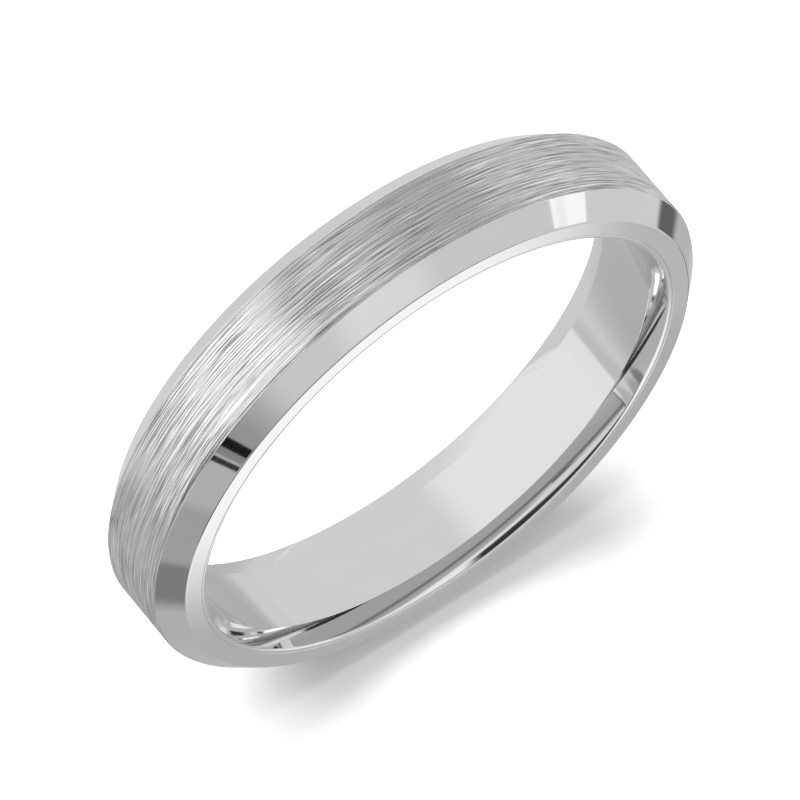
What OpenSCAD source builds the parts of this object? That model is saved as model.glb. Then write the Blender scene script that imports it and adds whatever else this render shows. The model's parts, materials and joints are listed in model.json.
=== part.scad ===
// Comfort-fit wedding band built from four turned rings: a thin liner that
// meets the finger, a brushed centre band over its middle, and a polished
// bevel ring over each end. A step on each bevel ring goes under the centre
// band and centres it. The band stands on its rim with its axis along Y, and
// the origin is the middle of the finger bore.

/* [Band] */
// Diameter of the straight middle of the finger bore
bore_d = 17.8; // [14:0.1:22.4]
// Width of the band along the finger
band_w = 4; // [3.3:0.1:8]
// Thickness of the band from the bore to the brushed face
band_t = 1.8; // [1.5:0.05:2.6]

/* [Comfort liner] */
// Width of the rounded stretch at each end of the bore
comfort_w = 0.75; // [0.5:0.05:1]
// How far the rounded stretch falls back from the bore
comfort_drop = 0.28; // [0.2:0.01:0.4]
// Slope of the rounded stretch at the bore, as a share of its mean slope
crease_share = 0.73; // [0.2:0.01:0.95]
// Thickness of the liner at its ends
lip_t = 0.14; // [0.14:0.01:0.3]
// Radius of the polished lip at each end of the liner
lip_r = 0.13; // [0.05:0.01:0.13]

/* [Bevels] */
// Width of each bevel along the finger
bevel_w = 0.75; // [0.4:0.05:1.1]
// How far each bevel drops from the brushed face to the side face
bevel_drop = 0.75; // [0.4:0.05:0.9]

/* [Seams] */
// Length of the step on each bevel ring, under the centre band
step_len = 0.4; // [0.2:0.05:0.8]
// Height of that step above the liner
step_h = 0.5; // [0.3:0.05:0.9]
// Clearance between the step and the centre band
step_gap = 0.02; // [0:0.005:0.04]
// Size of the broken edges along the seams and corners
edge_break = 0.03; // [0.02:0.005:0.04]

/* [Hidden] */
$fn = 256;

arc_steps = 12; // flats that follow each curve of a profile

polished_metal = [0.80, 0.80, 0.79];
lined_metal = [0.84, 0.84, 0.83];
satin_metal = [0.66, 0.66, 0.65];

// Radii, outwards from the finger
bore_r = bore_d / 2;
lip_inner_r = bore_r + comfort_drop;
liner_r = lip_inner_r + lip_t;
step_r = liner_r + step_h;
outer_r = bore_r + band_t;
side_r = outer_r - bevel_drop;

// Half widths, outwards from the middle of the band
end_y = band_w / 2;
land_y = end_y - comfort_w;
seam_y = end_y - bevel_w;
rebate_y = seam_y - step_len;

// The rounded stretch is one arc through the crease (bore_r, land_y) and the
// corner (lip_inner_r, end_y). It leaves the bore at crease_angle.
chord_angle = atan2(comfort_drop, comfort_w);
crease_angle = crease_share * chord_angle;
comfort_r = norm([comfort_drop, comfort_w]) / (2 * sin(chord_angle - crease_angle));
comfort_c = [
    bore_r + comfort_r * cos(crease_angle),
    land_y - comfort_r * sin(crease_angle)
];

// The lip's arc touches the end face and the comfort arc
lip_y = end_y - lip_r;
lip_angle = asin((lip_y - comfort_c.y) / (comfort_r - lip_r));
lip_c = [comfort_c.x - (comfort_r - lip_r) * cos(lip_angle), lip_y];

// Points on an arc about c, at slopes from a to b against the bore
function arc(c, r, a, b) = [
    for (i = [0 : arc_steps])
        let (t = a + (b - a) * i / arc_steps)
        c + r * [-cos(t), sin(t)]
];

// The same points on the other side of the band's middle, in reverse order
function mirrored(points) = [
    for (i = [len(points) - 1 : -1 : 0]) [points[i].x, -points[i].y]
];

// Radius of the bevel at a distance y from the middle of the band
function bevel_r(y) = outer_r - (y - seam_y) * bevel_drop / bevel_w;

// Turns a profile of [radius, y] points about the band's axis
module turned(points) {
    rotate([-90, 0, 0])
        rotate_extrude()
            polygon(points);
}

// Thin sleeve with a straight bore, rounded ends and polished lips
module comfort_liner() {
    half = concat(
        arc(comfort_c, comfort_r, crease_angle, lip_angle),
        arc(lip_c, lip_r, lip_angle, 90),
        [
            [liner_r - edge_break, end_y],
            [liner_r, end_y - edge_break]
        ]
    );
    color(lined_metal)
        turned(concat(mirrored(half), half));
}

// Brushed hoop, rebated at both ends for the steps of the bevel rings
module centre_band() {
    half = [
        [liner_r, rebate_y],
        [step_r, rebate_y],
        [step_r, seam_y],
        [outer_r - 2 * edge_break, seam_y],
        [outer_r, seam_y - edge_break]
    ];
    color(satin_metal)
        turned(concat(mirrored(half), half));
}

// Polished ring with a 45 degree bevel, a flat side face and the inner step
module bevel_ring() {
    color(polished_metal)
        turned([
            [liner_r, rebate_y + step_gap],
            [step_r - step_gap, rebate_y + step_gap],
            [step_r - step_gap, seam_y],
            [outer_r - 2 * edge_break, seam_y],
            [bevel_r(seam_y + edge_break), seam_y + edge_break],
            [bevel_r(end_y - edge_break), end_y - edge_break],
            [side_r - edge_break, end_y],
            [liner_r + edge_break, end_y],
            [liner_r, end_y - edge_break]
        ]);
}

module rear_bevel_ring() {
    bevel_ring();
}

module front_bevel_ring() {
    mirror([0, 1, 0])
        bevel_ring();
}

comfort_liner();
centre_band();
front_bevel_ring();
rear_bevel_ring();
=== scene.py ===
"""Wedding band in polished and brushed white gold, standing on its rim.

Four turned rings share one axis, Y: a comfort liner against the finger, a brushed centre band over its
middle, and a polished bevel ring at each end. Each ring is one closed cross-section carried once round
the axis. Lengths are in metres and a cross-section's points are (distance from the axis, distance along
it), so its first column is a radius and its second a place across the band's width.
"""

import json
import math

import bpy
import numpy as np
from mathutils import Matrix, Vector


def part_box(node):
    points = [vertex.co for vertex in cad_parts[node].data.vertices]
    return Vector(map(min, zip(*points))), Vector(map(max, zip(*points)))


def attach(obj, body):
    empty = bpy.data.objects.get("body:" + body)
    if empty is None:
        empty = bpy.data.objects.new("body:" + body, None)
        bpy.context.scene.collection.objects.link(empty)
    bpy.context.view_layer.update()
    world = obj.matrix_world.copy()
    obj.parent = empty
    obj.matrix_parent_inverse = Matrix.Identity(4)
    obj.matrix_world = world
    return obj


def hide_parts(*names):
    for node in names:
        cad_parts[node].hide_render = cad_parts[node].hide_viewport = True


MM = 0.001

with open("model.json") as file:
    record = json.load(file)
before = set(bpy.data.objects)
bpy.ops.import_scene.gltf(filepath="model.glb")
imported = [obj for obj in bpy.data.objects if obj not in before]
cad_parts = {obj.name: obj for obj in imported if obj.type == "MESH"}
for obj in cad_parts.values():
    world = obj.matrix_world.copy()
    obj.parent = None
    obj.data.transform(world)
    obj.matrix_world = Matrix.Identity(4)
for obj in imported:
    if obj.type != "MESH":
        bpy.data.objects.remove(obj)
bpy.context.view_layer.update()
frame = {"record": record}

# ---------------------------------------------------------------- sizes of the band

mounts = {mount["name"]: mount for mount in frame["record"]["mounts"]}
bore_r = mounts["finger_bore"]["dims"]["r_mm"] * MM
outer_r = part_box("centre_band")[1].x
seam_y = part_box("centre_band")[1].y
liner_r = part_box("comfort_liner")[1].x
end_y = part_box("comfort_liner")[1].y
step_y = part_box("rear_bevel_ring")[0].y

# What the frame doesn't give, with the values that the CAD part has
comfort_w = 0.75 * MM
comfort_drop = 0.28 * MM
crease_share = 0.73
lip_r = 0.13 * MM
bevel_drop = 0.75 * MM
step_h = 0.5 * MM
step_gap = 0.02 * MM
edge_break = 0.03 * MM

# Radii of the eased corners
crease_ease = 0.06 * MM
rolled_edge = 0.035 * MM
bevel_edge = 0.03 * MM
face_edge = 0.11 * MM
joint_edge = 0.025 * MM
hidden_edge = 0.02 * MM

land_y = end_y - comfort_w
side_r = outer_r - bevel_drop
step_r = liner_r + step_h
rebate_y = step_y - step_gap


# ---------------------------------------------------------------- cross-sections


def arc(centre, radius, start, end, steps=12):
    """Points on an arc of a cross-section.

    The slope t against the bore runs evenly from start to end, and a point lies at
    centre + radius (-cos t, sin t). A last column of zeros says that the points need no easing.
    """
    slope = np.linspace(start, end, steps + 1)
    points = centre + radius * np.stack([-np.cos(slope), np.sin(slope)], axis=1)
    return np.column_stack([points, np.zeros(steps + 1)])


def mirrored(half):
    """The same points on the other side of the band's middle, in reverse order."""
    return half[::-1] * [1, -1, 1]


def eased(corners, steps=8, guard=0.012 * MM):
    """A closed cross-section with its corners eased, from rows of (radius, along, ease).

    Where the outline turns by an angle, the arc of radius ease leaves the sides ease tan(angle / 2) from
    the corner, and its heading goes evenly from the first side's to the second's. A guard point just
    outside each end of the arc keeps the shading of the flats flat. A row with no ease stays one point.
    """
    at, ease = corners[:, :2], corners[:, 2:]
    side = np.roll(at, -1, axis=0) - at
    leaving = np.arctan2(side[:, 1], side[:, 0])[:, None]
    arriving = np.roll(leaving, 1, axis=0)
    turn = (leaving - arriving + np.pi) % (2 * np.pi) - np.pi
    turn = np.where(np.abs(turn) < 1e-6, 1e-6, turn)
    before = np.concatenate([np.cos(arriving), np.sin(arriving)], axis=1)
    after = np.concatenate([np.cos(leaving), np.sin(leaving)], axis=1)
    start = at - before * ease * np.tan(np.abs(turn) / 2)
    heading = arriving + turn * np.linspace(0, 1, steps + 1)
    swing = ease * np.sign(turn)
    along_r = start[:, :1] + swing * (np.sin(heading) - np.sin(arriving))
    along_y = start[:, 1:] + swing * (np.cos(arriving) - np.cos(heading))
    rounds = np.stack([along_r, along_y], axis=2)
    guards = guard * (ease > 0)
    first = rounds[:, :1] - (before * guards)[:, None]
    last = rounds[:, -1:] + (after * guards)[:, None]
    points = np.concatenate([first, rounds, last], axis=1).reshape(-1, 2)
    apart = np.linalg.norm(points - np.roll(points, 1, axis=0), axis=1)
    return points[apart > 1e-4 * MM]


def comfort_liner_section():
    """Straight bore, a crease, the comfort curve, the polished lip and the seat under the other rings.

    The comfort curve is one arc through the crease (bore_r, land_y) and the corner
    (bore_r + comfort_drop, end_y). It leaves the bore at crease_share of its mean slope, and the lip's
    arc touches it and the end face.
    """
    chord = math.atan2(comfort_drop, comfort_w)
    crease_angle = crease_share * chord
    comfort_r = math.hypot(comfort_drop, comfort_w) / (2 * math.sin(chord - crease_angle))
    centre = np.array([
        bore_r + comfort_r * math.cos(crease_angle),
        land_y - comfort_r * math.sin(crease_angle),
    ])
    lip_y = end_y - lip_r
    lip_angle = math.asin((lip_y - centre[1]) / (comfort_r - lip_r))
    lip_centre = np.array([centre[0] - (comfort_r - lip_r) * math.cos(lip_angle), lip_y])
    half = np.concatenate([
        [[bore_r, land_y, crease_ease]],
        arc(centre, comfort_r, crease_angle, lip_angle)[1:],
        arc(lip_centre, lip_r, lip_angle, math.pi / 2)[1:],
        [[liner_r, end_y, joint_edge]],
    ])
    return eased(np.concatenate([mirrored(half), half]))


def centre_band_section():
    """Hoop, rebated at both ends, with the rolled edges that the abrasive leaves."""
    half = np.array([
        [liner_r, rebate_y, hidden_edge],
        [step_r, rebate_y, 0],
        [step_r, seam_y, hidden_edge],
        [outer_r - 2 * edge_break, seam_y, 0],
        [outer_r, seam_y - edge_break, rolled_edge],
    ])
    return eased(np.concatenate([mirrored(half), half]))


def bevel_ring_section():
    """Step under the centre band, seam edge, bevel, side face and the joint with the liner."""
    slope = bevel_drop / (end_y - seam_y)
    return eased(np.array([
        [liner_r, step_y, hidden_edge],
        [step_r - step_gap, step_y, hidden_edge],
        [step_r - step_gap, seam_y, 0],
        [outer_r - 2 * edge_break, seam_y, 0],
        [outer_r - slope * edge_break, seam_y + edge_break, bevel_edge],
        [side_r, end_y, face_edge],
        [liner_r, end_y, joint_edge],
    ]))


# ---------------------------------------------------------------- turning the rings


def turned(name, section, turns=720):
    """A ring made by carrying a closed cross-section once round the band's axis.

    At angle a the point of the section with radius r and place y lies at (r cos a, y, r sin a). Faces
    join neighbours both ways and both ways close. Faces point away from the metal whichever way the
    section runs, because its signed area picks their order.
    """
    angle = np.linspace(0, 2 * np.pi, turns, endpoint=False)[:, None]
    radius, place = section[:, 0], section[:, 1]
    ring = np.stack([
        radius * np.cos(angle),
        np.broadcast_to(place, (turns, len(section))),
        radius * np.sin(angle),
    ], axis=2)
    number = np.arange(turns * len(section)).reshape(turns, len(section))
    ahead = np.roll(number, -1, axis=0)
    faces = [number, np.roll(number, -1, axis=1), np.roll(ahead, -1, axis=1), ahead]
    area = np.sum(radius * np.roll(place, -1) - np.roll(radius, -1) * place)
    faces = np.stack(faces if area > 0 else faces[::-1], axis=2).reshape(-1, 4)
    mesh = bpy.data.meshes.new(name)
    mesh.from_pydata(ring.reshape(-1, 3), [], faces)
    mesh.shade_smooth()
    piece = bpy.data.objects.new(name, mesh)
    bpy.context.scene.collection.objects.link(piece)
    return piece


# ---------------------------------------------------------------- node helpers


def new_tree(owner):
    """An emptied node tree of a material or world."""
    owner.use_nodes = True
    owner.node_tree.nodes.clear()
    return owner.node_tree


def node(tree, kind, *inputs, **settings):
    """Adds a node, sets its settings and fills its inputs in order with links or plain values."""
    made = tree.nodes.new("ShaderNode" + kind)
    for key, value in settings.items():
        setattr(made, key, value)
    for socket, value in zip(made.inputs, inputs):
        plug(tree, socket, value)
    return made


def plug(tree, socket, value):
    """Links an output to a socket, or sets the socket's own value. None leaves it alone."""
    if isinstance(value, bpy.types.NodeSocket):
        tree.links.new(value, socket)
    elif value is not None:
        socket.default_value = value


def maths(tree, operation, *values):
    """The result of one Math node."""
    return node(tree, "Math", *values, operation=operation).outputs[0]


def weighted(tree, *parts):
    """The sum of pairs of a value and its weight."""
    total = 0.0
    for value, weight in parts:
        total = maths(tree, "MULTIPLY_ADD", value, weight, total)
    return total


def smooth_range(tree, value, low, high, to_low=0.0, to_high=1.0):
    """Smooth step of value from to_low at low to to_high at high."""
    made = node(tree, "MapRange", interpolation_type="SMOOTHSTEP")
    for name, number in zip(("Value", "From Min", "From Max", "To Min", "To Max"),
                            (value, low, high, to_low, to_high)):
        plug(tree, made.inputs[name], number)
    return made.outputs[0]


def mixed(tree, share, without, full):
    """A number that goes from without to full as share goes from 0 to 1."""
    made = node(tree, "Mix", data_type="FLOAT")
    for socket, value in ((0, share), (2, without), (3, full)):
        plug(tree, made.inputs[socket], value)
    return made.outputs[0]


def group(name, inputs, outputs):
    """An empty node group with float or vector sockets, and its input and output nodes."""
    tree = bpy.data.node_groups.new(name, "ShaderNodeTree")
    for names, way in ((inputs, "INPUT"), (outputs, "OUTPUT")):
        for label, kind in names.items():
            tree.interface.new_socket(label, in_out=way, socket_type="NodeSocket" + kind)
    given = tree.nodes.new("NodeGroupInput").outputs
    result = tree.nodes.new("NodeGroupOutput").inputs
    return tree, given, result


def placed(tree, shared, **values):
    """Places a shared group in a tree and fills its inputs by name. Underscores stand for spaces."""
    made = tree.nodes.new("ShaderNodeGroup")
    made.node_tree = shared
    for key, value in values.items():
        plug(tree, made.inputs[key.replace("_", " ")], value)
    return made.outputs


# ---------------------------------------------------------------- finishes


def abrasive_pass():
    """One pass of the abrasive round a ring: fine grooves that run round it and wander a little.

    The place is a point on the ring. Its distance along the axis gains Wander sin(Waves angle + Phase),
    so that the grooves of two passes cross at a slight slope and still meet after a full turn. The
    noise is then stretched by Stroke along the groove and Hair across it, both in cells a metre.
    """
    tree, given, result = group(
        "abrasive_pass",
        dict(Place="Vector", Wander="Float", Waves="Float", Phase="Float", Stroke="Float",
             Hair="Float", Detail="Float"),
        dict(Groove="Float"),
    )
    x, y, z = node(tree, "SeparateXYZ", given["Place"]).outputs
    angle = maths(tree, "ARCTAN2", z, x)
    wave = maths(tree, "SINE", maths(tree, "MULTIPLY_ADD", angle, given["Waves"], given["Phase"]))
    drifted = maths(tree, "MULTIPLY_ADD", wave, given["Wander"], y)
    where = node(
        tree, "CombineXYZ",
        maths(tree, "MULTIPLY", x, given["Stroke"]),
        maths(tree, "MULTIPLY", drifted, given["Hair"]),
        maths(tree, "MULTIPLY", z, given["Stroke"]),
    ).outputs[0]
    grooves = node(tree, "TexNoise", noise_dimensions="4D")
    for name, value in (("Vector", where), ("W", given["Phase"]), ("Scale", 1.0),
                        ("Detail", given["Detail"]), ("Roughness", 0.6)):
        plug(tree, grooves.inputs[name], value)
    plug(tree, result["Groove"], grooves.outputs["Fac"])
    return tree


def finish_material(name):
    """A new material with its tree, its Principled shader and the piece's own coordinates."""
    material = bpy.data.materials.new(name)
    tree = new_tree(material)
    shader = node(tree, "BsdfPrincipled")
    output = node(tree, "OutputMaterial")
    tree.links.new(shader.outputs[0], output.inputs["Surface"])
    shader.inputs["Metallic"].default_value = 1.0
    place = node(tree, "TexCoord").outputs["Object"]
    return material, tree, shader.inputs, place


def grey(tree, value):
    """A neutral colour from a number."""
    return node(tree, "CombineColor", value, value, value).outputs[0]


def noise(tree, place, scale, detail):
    """Even noise with scale cells a metre."""
    made = node(tree, "TexNoise")
    for name, value in (("Vector", place), ("Scale", scale), ("Detail", detail)):
        plug(tree, made.inputs[name], value)
    return made.outputs["Fac"]


def bumped(tree, height, depth):
    """A normal from a height between 0 and 1, with depth in metres."""
    made = node(tree, "Bump")
    for name, value in (("Strength", 1.0), ("Distance", depth), ("Height", height)):
        plug(tree, made.inputs[name], value)
    return made.outputs[0]


def brushed_finish(passes):
    """Satin finish of the centre band: turning marks, strokes and fine hairs, laid over each other.

    The turning marks are a sine across the band's width, with mark_rate radians a metre. The coarse pass
    times mark_shift is added to its phase, so that the marks aren't evenly spaced. The marks and passes
    set the colour as well as the relief, with painted shade in the bottoms of the grooves and painted
    sheen on their flanks, more strongly in some patches than in others.
    """
    mark_rate = 50.0 / MM
    mark_shift = 14.0
    groove_depth = 0.004 * MM
    mean_tone, darkest, brightest = 0.60, 0.2, 1.0

    material, tree, shader, place = finish_material("brushed_white_gold")
    coarse = placed(tree, passes, Place=place, Wander=0.02 * MM, Waves=3.0, Phase=0.7,
                    Stroke=160.0, Hair=5000.0, Detail=1.0)["Groove"]
    strokes = placed(tree, passes, Place=place, Wander=0.03 * MM, Waves=4.0, Phase=2.1,
                     Stroke=420.0, Hair=30000.0, Detail=0.0)["Groove"]
    hairs = placed(tree, passes, Place=place, Wander=0.05 * MM, Waves=6.0, Phase=4.4,
                   Stroke=1000.0, Hair=42000.0, Detail=1.0)["Groove"]
    y = node(tree, "SeparateXYZ", place).outputs[1]
    marks = maths(tree, "SINE", weighted(tree, (coarse, mark_shift), (y, mark_rate)))

    relief = weighted(tree, (coarse, 0.1), (marks, 0.12), (hairs, 0.6), (strokes, 0.9))
    plug(tree, shader["Normal"], bumped(tree, relief, groove_depth))

    # Painted shade and sheen of the grooves: the colour is darker in their bottoms and brighter on their
    # high flanks.
    groove_shade_and_sheen = weighted(tree, (hairs, 0.65), (strokes, 0.35), (marks, 0.06))
    patches = noise(tree, place, 420.0, 1.0)
    strength = smooth_range(tree, patches, 0.38, 0.62, 1.2, 2.8)
    # The base colour carries the painted groove shade and sheen round mean_tone, stronger in random
    # patches.
    tone = maths(tree, "MULTIPLY_ADD", maths(tree, "SUBTRACT", groove_shade_and_sheen, 0.5), strength, mean_tone)
    tone = maths(tree, "MAXIMUM", maths(tree, "MINIMUM", tone, brightest), darkest)
    plug(tree, shader["Base Color"], grey(tree, tone))
    plug(tree, shader["Roughness"], smooth_range(tree, hairs, 0.25, 0.75, 0.24, 0.36))
    shader["Anisotropic"].default_value = 0.75
    shader["Anisotropic Rotation"].default_value = 0.25
    tangent = node(tree, "Tangent", direction_type="RADIAL", axis="Y")
    plug(tree, shader["Tangent"], tangent.outputs[0])
    return material


def polished_finish(name, passes, tone, roughness):
    """Mirror polish with the faint hairlines and haze that the buffing wheel leaves."""
    hairline_depth = 0.00004 * MM
    tone_spread = 0.012

    material, tree, shader, place = finish_material(name)
    hairlines = placed(tree, passes, Place=place, Wander=0.06 * MM, Waves=4.0, Phase=1.3,
                       Stroke=500.0, Hair=12000.0, Detail=3.0)["Groove"]
    haze = noise(tree, place, 600.0, 3.0)
    wear = weighted(tree, (hairlines, 0.5), (haze, 0.5))
    shade = smooth_range(tree, wear, 0.3, 0.7, tone - tone_spread, tone + tone_spread)
    plug(tree, shader["Base Color"], grey(tree, shade))
    plug(tree, shader["Roughness"], smooth_range(tree, wear, 0.3, 0.7, roughness * 0.7, roughness * 1.3))
    plug(tree, shader["Normal"], bumped(tree, hairlines, hairline_depth))
    return material


# ---------------------------------------------------------------- the band


def add_piece(name, section, material):
    """A finished ring in place of the CAD node that it is named after."""
    piece = turned(name, section)
    piece.data.materials.append(material)
    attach(piece, "root")
    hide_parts(name[:-len("_turned")])


passes = abrasive_pass()
brushed = brushed_finish(passes)
liner_polish = polished_finish("polished_liner", passes, 0.80, 0.05)
bevel_polish = polished_finish("polished_bevel", passes, 0.80, 0.04)

add_piece("comfort_liner_turned", comfort_liner_section(), liner_polish)
add_piece("centre_band_turned", centre_band_section(), brushed)
add_piece("rear_bevel_ring_turned", bevel_ring_section(), bevel_polish)
add_piece("front_bevel_ring_turned", bevel_ring_section() * [1, -1], bevel_polish)


# ---------------------------------------------------------------- camera

azimuth, elevation = math.radians(-36.0), math.radians(59.1)
distance = 29.966 * outer_r
sideways, upwards = -0.0088 * outer_r, 0.0102 * outer_r
back = Vector((
    math.sin(azimuth) * math.cos(elevation),
    -math.cos(azimuth) * math.cos(elevation),
    math.sin(elevation),
))
camera = bpy.data.objects.new("camera", bpy.data.cameras.new("camera"))
bpy.context.scene.collection.objects.link(camera)
bpy.context.scene.camera = camera
camera.data.lens = 450
camera.data.sensor_width = 36
camera.data.clip_start = 0.01
camera.data.clip_end = 10
turn = (-back).to_track_quat("-Z", "Y")
aim = turn @ Vector((sideways, upwards, 0))
camera.matrix_world = Matrix.Translation(aim + back * distance) @ turn.to_matrix().to_4x4()


# ---------------------------------------------------------------- floor and light


def sheet_of_floor(name, half, height):
    """A square sheet of floor, half wide each way, at one height."""
    corners = np.array([[-1, -1, 0], [1, -1, 0], [1, 1, 0], [-1, 1, 0]]) * half + [0, 0, height]
    mesh = bpy.data.meshes.new(name)
    mesh.from_pydata(corners, [], [(0, 1, 2, 3)])
    piece = bpy.data.objects.new(name, mesh)
    bpy.context.scene.collection.objects.link(piece)
    return piece


def soft_pool():
    """A soft round pool of light or shade on the floor, laid over what is behind it.

    Its share is 1 inside the ellipse with the given half lengths and falls smoothly to 0 at Fade times
    that size.
    """
    tree, given, result = group(
        "soft_pool",
        {"Place": "Vector", "Middle": "Vector", "Half": "Vector", "Fade": "Float",
         "Brightness": "Float", "Behind": "Float"},
        {"Light": "Float"},
    )
    away = node(tree, "VectorMath", given["Place"], given["Middle"], operation="SUBTRACT").outputs[0]
    scaled = node(tree, "VectorMath", away, given["Half"], operation="DIVIDE").outputs[0]
    reach = node(tree, "VectorMath", scaled, operation="LENGTH").outputs["Value"]
    share = smooth_range(tree, reach, given["Fade"], 1.0)
    plug(tree, result["Light"], mixed(tree, share, given["Behind"], given["Brightness"]))
    return tree


def softbox():
    """A softbox seen from the band, laid over what is behind it.

    Across and Up are two angles of a direction in degrees. The softbox's share is 1 within Half of its
    Middle in both and falls smoothly to 0 over Feather more degrees.
    """
    numbers = ("Across", "Middle Across", "Half Across", "Feather Across",
               "Up", "Middle Up", "Half Up", "Feather Up", "Brightness", "Behind")
    tree, given, result = group("softbox", dict.fromkeys(numbers, "Float"), {"Light": "Float"})
    shares = []
    for way in ("Across", "Up"):
        off = maths(tree, "SUBTRACT", given[way], given["Middle " + way])
        off = maths(tree, "ABSOLUTE", maths(tree, "WRAP", off, 180.0, -180.0))
        edge = maths(tree, "ADD", given["Half " + way], given["Feather " + way])
        shares.append(smooth_range(tree, off, edge, given["Half " + way]))
    share = maths(tree, "MULTIPLY", *shares)
    plug(tree, result["Light"], mixed(tree, share, given["Behind"], given["Brightness"]))
    return tree


def glow_material(name, place_light):
    """An emissive material that lights nothing by itself, for cards that only reflections see."""
    material = bpy.data.materials.new(name)
    tree = new_tree(material)
    place = node(tree, "TexCoord").outputs["Object"]
    emission = node(tree, "Emission", grey(tree, place_light(tree, place)), 1.0)
    output = node(tree, "OutputMaterial")
    tree.links.new(emission.outputs[0], output.inputs["Surface"])
    material.cycles.emission_sampling = "NONE"
    return material


# The card for reflections lies just under the floor, which reflections don't see.
floor_z = -outer_r
floor_half = 3.0
card_half = 0.9
card_gap = 0.01 * MM

floor = sheet_of_floor("floor", floor_half, floor_z)
floor_material = bpy.data.materials.new("white_paper")
floor_tree = new_tree(floor_material)
floor_shader = node(floor_tree, "BsdfDiffuse", (0.9, 0.9, 0.9, 1))
floor_output = node(floor_tree, "OutputMaterial")
floor_tree.links.new(floor_shader.outputs[0], floor_output.inputs["Surface"])
floor.data.materials.append(floor_material)
floor.visible_glossy = False

# Reflections see a card in place of the floor. It has the brightness FLOOR_LIGHT and soft round pools of
# light and shade, in rows of (middle, half lengths, fade, brightness) with lengths in outer radii of the
# band. Later rows lie over earlier ones.
FLOOR_LIGHT = 0.73
FLOOR_POOLS = (
    ((-40.0, 18.0), (50.0, 23.0), 1.08, 0.92),
    ((0.0, 3.5), (1.2, 2.5), 1.7, 0.72),
    ((2.6, 1.8), (1.7, 1.1), 2.6, 0.73),
    ((0.3, -4.6), (1.8, 2.4), 1.5, 0.14),
    ((-9.0, -9.0), (7.9, 7.9), 1.2, 0.52),
    ((-2.7, -1.8), (0.8, 0.9), 2.0, 0.41),
    ((-1.3, -2.4), (0.7, 0.8), 1.3, 0.06),
    ((0.2, -0.05), (1.6, 0.55), 2.0, 0.51),
    ((-1.7, -0.72), (0.24, 0.3), 2.0, 0.24),
    ((2.63, -0.38), (0.24, 0.24), 2.2, 0.14),
    ((1.45, 0.3), (0.2, 0.15), 2.2, 0.60),
    ((0.0, -1.25), (0.75, 0.4), 2.0, 1.12),
    ((-64.0, -74.5), (66.0, 77.0), 1.02, 0.01),
    ((-14.6, -17.0), (4.6, 5.0), 1.05, 0.27),
    ((-9.2, -10.5), (1.3, 1.4), 1.3, 0.03),
    ((60.0, -36.0), (59.0, 35.2), 1.05, 1.15),
    ((1.5, -0.8), (0.2, 0.15), 2.5, 0.56),
    ((-2.7, 1.0), (0.9, 0.45), 1.8, 0.62),
    ((1.75, -0.38), (0.3, 0.1), 1.6, 0.03),
)


def floor_card_light(tree, place):
    """What reflections see on the floor, pool over pool."""
    pool = soft_pool()
    light = FLOOR_LIGHT
    for middle, half, fade, brightness in FLOOR_POOLS:
        light = placed(
            tree, pool, Place=place, Behind=light, Fade=fade, Brightness=brightness,
            Middle=(middle[0] * outer_r, middle[1] * outer_r, floor_z),
            Half=(half[0] * outer_r, half[1] * outer_r, 1.0),
        )["Light"]
    return light


card = sheet_of_floor("floor_card", card_half, floor_z - card_gap)
card.data.materials.append(glow_material("floor_card", floor_card_light))
card.visible_camera = False
card.visible_diffuse = False
card.visible_shadow = False

# The brightness of the backdrop for the camera, and of the even light that fills the shadow.
BACKDROP = 1.1
ROOM_FILL = 0.72

# Softboxes that reflections see, by bearing and height in degrees. Bearing 0 is straight in front, along
# -Y, and 90 is towards +X. Each row is (middle, half, feather) across, the same up, and the brightness.
# Later rows lie over earlier ones.
ROOM_LIGHT = 0.42
ROOM_BOXES = (
    ((180, 80, 15), (20, 60, 15), 0.76),
    ((-132, 18, 36), (28, 40, 24), 0.94),
    ((8, 46, 8), (16, 13, 10), 0.70),
    ((4, 7, 12), (27, 3, 6), 0.84),
    ((60, 8.0, 0.4), (1, 8, 2), 1.15),
    ((8, 40, 8), (-1, 2, 3), 0.20),
    ((-41, 5, 12), (21, 21.5, 2.5), 0.36),
    ((-55, 15.0, 0.5), (21, 21.3, 1.0), 0.01),
)

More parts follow.
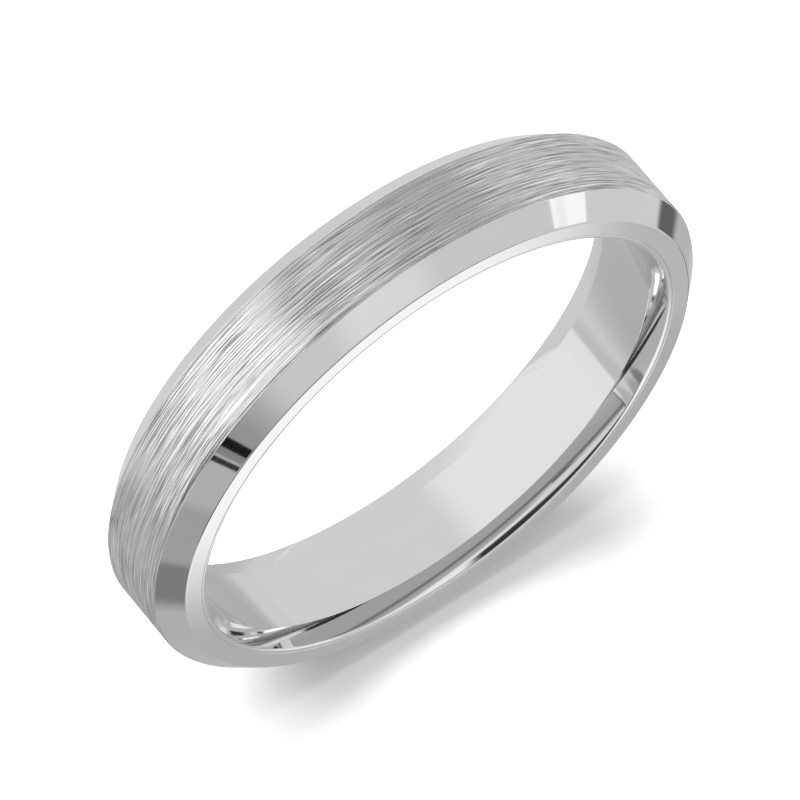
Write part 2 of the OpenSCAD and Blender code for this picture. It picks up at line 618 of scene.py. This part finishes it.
# More softboxes, by clock angle round the band's axis, 0 at +X and 90 at the top, and by opening, the
# angle away from -Y.
RING_BOXES = (
    ((60, 75, 40), (65, 3.5, 3), 1.00),
    ((85, 95, 15), (75, 0.6, 1.2), 0.20),
    ((140, 45, 12), (53, 14, 1.5), 0.04),
    ((160, 25, 20), (70, 1, 3), 0.80),
    ((143, 18, 14), (97, 6, 4), 2.90),
    ((110, 4, 8), (97, 6, 4), 0.10),
    ((98, 4, 6), (97, 6, 4), 1.20),
    ((60, 12, 10), (97, 6, 4), 0.05),
    ((20, 8, 10), (97, 6, 4), 1.20),
    ((-8, 6, 8), (97, 6, 4), 0.05),
)


def studio_world():
    """White for the camera, an even room light for the floor, and softboxes for reflections."""
    world = bpy.data.worlds.new("studio")
    bpy.context.scene.world = world
    tree = new_tree(world)
    direction = node(tree, "TexCoord").outputs["Generated"]
    x, y, z = node(tree, "SeparateXYZ", direction).outputs
    front = maths(tree, "MULTIPLY", y, -1.0)
    bearing = maths(tree, "DEGREES", maths(tree, "ARCTAN2", x, front))
    height = maths(tree, "DEGREES", maths(tree, "ARCSINE", z))
    clock = maths(tree, "DEGREES", maths(tree, "ARCTAN2", z, x))
    opening = maths(tree, "DEGREES", maths(tree, "ARCCOSINE", front))
    box = softbox()
    light = ROOM_LIGHT
    for boxes, across_angle, up_angle in ((ROOM_BOXES, bearing, height), (RING_BOXES, clock, opening)):
        for across, up, brightness in boxes:
            light = placed(
                tree, box, Across=across_angle, Middle_Across=across[0], Half_Across=across[1],
                Feather_Across=across[2], Up=up_angle, Middle_Up=up[0], Half_Up=up[1],
                Feather_Up=up[2], Brightness=brightness, Behind=light,
            )["Light"]
    path = node(tree, "LightPath").outputs
    plain = mixed(tree, path["Is Camera Ray"], ROOM_FILL, BACKDROP)
    seen = mixed(tree, path["Is Glossy Ray"], plain, light)
    background = node(tree, "Background", grey(tree, seen), 1.0)
    output = node(tree, "OutputWorld")
    tree.links.new(background.outputs[0], output.inputs["Surface"])
    world.cycles.sampling_method = "NONE"


studio_world()

key = bpy.data.objects.new("key_light", bpy.data.lights.new("key_light", "SUN"))
key.data.angle = math.radians(70)
key.data.energy = 4.6
key.rotation_mode = "QUATERNION"
key.rotation_quaternion = Vector((0.15, -0.5, -1.0)).to_track_quat("-Z", "Y")
key.visible_glossy = False
bpy.context.scene.collection.objects.link(key)

# Light is reflected many times inside the finger hole before it leaves it.
bpy.context.scene.cycles.glossy_bounces = 12
bpy.context.scene.view_settings.view_transform = "Standard"
